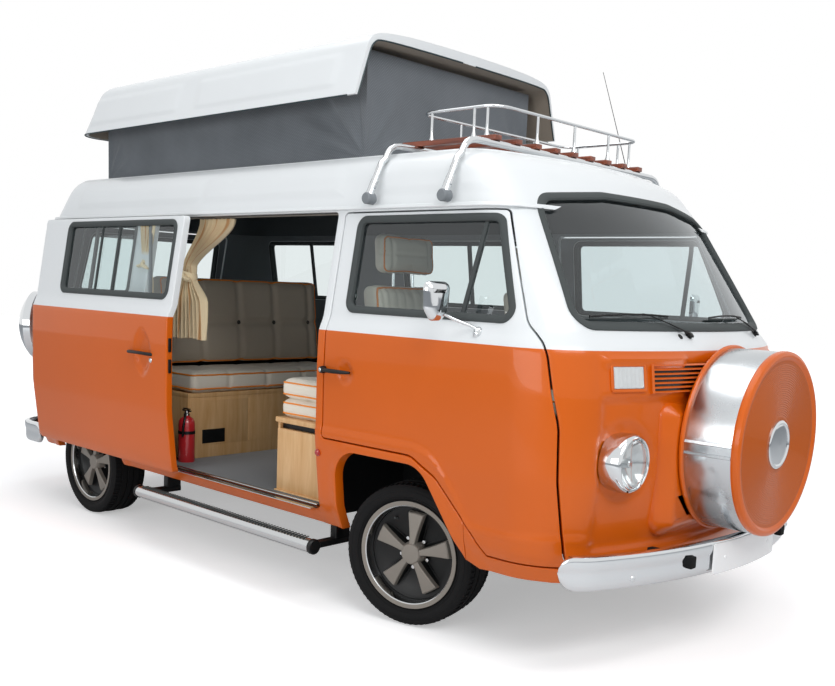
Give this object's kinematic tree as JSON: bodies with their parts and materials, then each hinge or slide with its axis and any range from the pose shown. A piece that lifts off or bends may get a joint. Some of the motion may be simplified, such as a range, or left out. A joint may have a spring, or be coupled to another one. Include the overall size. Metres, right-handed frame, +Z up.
{
  "type": "camper van",
  "caption": "Rear-engined camper van with raised lifting roof, open sliding side door, over-cab slatted roof rack and nose-mounted spare wheel.",
  "frame": {"origin": "on the ground, under the middle of the overall box", "axes": "+X forward, +Y to the vehicle's left, +Z up"},
  "size_m": [4.5718, 2.014, 2.4158],
  "materials": {
    "body_paint": "gloss",
    "white_shell": "gloss",
    "underbody": "satin",
    "clear_glass": "polished",
    "seal_rubber": "matt",
    "tyre": "matt",
    "alloy": "satin",
    "bright": "polished",
    "black_plastic": "matt",
    "grey_plastic": "matt",
    "lamp_lens": "gloss",
    "slat_wood": "varnished",
    "plywood": "varnished",
    "upholstery": "satin",
    "tent_cloth": "matt",
    "curtain_cloth": "matt",
    "red_paint": "gloss",
    "iron": "rough",
    "plate_white": "gloss"
  },
  "bodies": {
    "van": {"aerial": "black_plastic", "air_grille": "body_paint", "bench_base": "plywood", "bumpers": "bright", "cab_seats": "upholstery", "corner_cap": "bright", "curtains": "curtain_cloth", "dashboard": "grey_plastic", "engine_block": "iron", "fire_extinguisher": "red_paint", "floor_pan": "underbody", "front_axle": "iron", "front_panel": "body_paint", "lamps": "lamp_lens", "left_side_panel": "body_paint", "living_cushions": "upholstery", "number_plate": "plate_white", "rack_slats": "slat_wood", "radiator_cover": "body_paint", "rear_axle": "iron", "rear_frame": "body_paint", "right_side_panel": "body_paint", "roof": "white_shell", "roof_bellows": "tent_cloth", "roof_rack": "bright", "side_step": "bright", "side_windows": "clear_glass", "slide_rail": "black_plastic", "sliding_door": "body_paint", "sliding_door_window": "clear_glass", "spare_wheel": "bright", "steering_wheel": "black_plastic", "stool": "plywood", "window_seals": "seal_rubber", "windscreen": "clear_glass", "wipers": "black_plastic"},
    "lid_body": {"pop_top": "white_shell"},
    "right_door": {"right_cab_door": "body_paint", "right_door_window": "clear_glass", "right_door_mirror": "bright"},
    "left_door": {"left_cab_door": "body_paint", "left_door_window": "clear_glass", "left_door_mirror": "bright"},
    "tail_door": {"tailgate": "body_paint", "tailgate_window": "clear_glass"},
    "engine_door": {"engine_lid": "body_paint"},
    "right_knuckle": {"right_front_knuckle": "iron"},
    "left_knuckle": {"left_front_knuckle": "iron"},
    "right_front_wheel": {"right_front_tyre": "tyre", "right_front_rim": "alloy"},
    "left_front_wheel": {"left_front_tyre": "tyre", "left_front_rim": "alloy"},
    "right_rear_wheel": {"right_rear_tyre": "tyre", "right_rear_rim": "alloy"},
    "left_rear_wheel": {"left_rear_tyre": "tyre", "left_rear_rim": "alloy"}
  },
  "joints": [
    {"name": "lid_lift", "type": "slide", "parent": "van", "child": "lid_body", "axis": [0, 0, 1], "range_m": [-0.235, 0], "deforming": ["roof_bellows"]},
    {"name": "right_door_hinge", "type": "hinge", "parent": "van", "child": "right_door", "pos_m": [1.886, -0.822, 0.9], "axis": [0, 0, 1], "range_deg": [0, 65]},
    {"name": "left_door_hinge", "type": "hinge", "parent": "van", "child": "left_door", "pos_m": [1.886, 0.822, 0.9], "axis": [0, 0, -1], "range_deg": [0, 65]},
    {"name": "tailgate_hinge", "type": "hinge", "parent": "van", "child": "tail_door", "pos_m": [-1.926, 0, 1.629], "axis": [0, 1, 0], "range_deg": [0, 85]},
    {"name": "engine_lid_hinge", "type": "hinge", "parent": "van", "child": "engine_door", "pos_m": [-2.103, 0, 0.892], "axis": [0, 1, 0], "range_deg": [0, 60]},
    {"name": "right_steer", "type": "hinge", "parent": "van", "child": "right_knuckle", "pos_m": [1.114, -0.59, 0.288], "axis": [0, 0, 1], "range_deg": [-43.3, 16.7]},
    {"name": "left_steer", "type": "hinge", "parent": "van", "child": "left_knuckle", "pos_m": [1.114, 0.59, 0.288], "axis": [0, 0, 1], "range_deg": [-43.3, 16.7]},
    {"name": "right_front_spin", "type": "hinge", "parent": "right_knuckle", "child": "right_front_wheel", "pos_m": [1.13585, -0.68245, 0.288], "axis": [-0.23, 0.9732, 0], "continuous": true},
    {"name": "left_front_spin", "type": "hinge", "parent": "left_knuckle", "child": "left_front_wheel", "pos_m": [1.09215, 0.68245, 0.288], "axis": [-0.23, 0.9732, 0], "continuous": true},
    {"name": "right_rear_spin", "type": "hinge", "parent": "van", "child": "right_rear_wheel", "pos_m": [-1.286, -0.712, 0.288], "axis": [0, 1, 0], "continuous": true},
    {"name": "left_rear_spin", "type": "hinge", "parent": "van", "child": "left_rear_wheel", "pos_m": [-1.286, 0.712, 0.288], "axis": [0, 1, 0], "continuous": true}
  ],
  "couplings": [
    {"joint": "left_steer", "follows": "right_steer", "ratio": 1}
  ]
}
